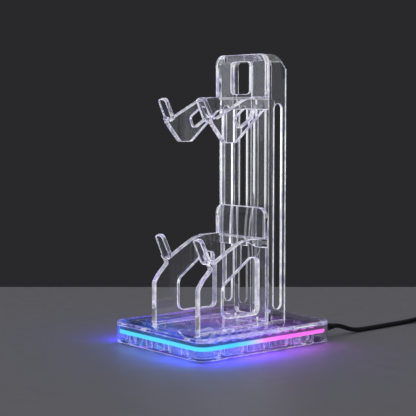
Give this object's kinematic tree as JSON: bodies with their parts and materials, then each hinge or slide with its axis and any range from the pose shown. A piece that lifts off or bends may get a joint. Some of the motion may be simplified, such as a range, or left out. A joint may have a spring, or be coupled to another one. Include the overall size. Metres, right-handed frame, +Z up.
{
  "type": "controller stand",
  "caption": "Two-tier desk stand for game controllers: clear slotted tower, hooked holders and a lit base with a USB lead.",
  "frame": {"origin": "centre of the base at table level", "axes": "+Z up, the open hooks and the front of the base towards -Y, +X to the right seen from the front"},
  "size_m": [0.1714, 0.3405, 0.253],
  "materials": {
    "clear_acrylic": "polished clear acrylic",
    "light_diffuser": "milky diffuser, lit cyan at the front to pink at the back",
    "white_plastic": "plain white",
    "emitter_resin": "pale resin window in a white package",
    "board_laminate": "white solder mask",
    "black_plastic": "matt black",
    "grey_parts": "dull grey",
    "black_rubber": "smooth matt black",
    "foot_rubber": "translucent grey",
    "plated_steel": "nickel plated"
  },
  "bodies": {
    "root": {"base_housing": "clear_acrylic", "base_cover": "clear_acrylic", "light_bar": "light_diffuser", "led_strip": "white_plastic", "led_emitters": "emitter_resin", "control_board": "board_laminate", "control_chip": "black_plastic", "board_parts": "grey_parts", "strip_socket": "white_plastic", "strip_ribbon": "white_plastic", "input_socket": "black_plastic", "inner_lead": "black_rubber", "board_screws": "plated_steel", "cover_screws": "plated_steel", "foot_1": "foot_rubber", "foot_2": "foot_rubber", "foot_3": "foot_rubber", "foot_4": "foot_rubber", "tower": "clear_acrylic", "lower_holder": "clear_acrylic", "upper_holder": "clear_acrylic", "lead_boot": "black_rubber", "lead": "black_rubber", "lead_coil": "black_rubber", "coil_ties": "black_plastic", "plug_body": "black_rubber", "plug_shell": "plated_steel", "plug_tongue": "white_plastic"}
  },
  "joints": []
}
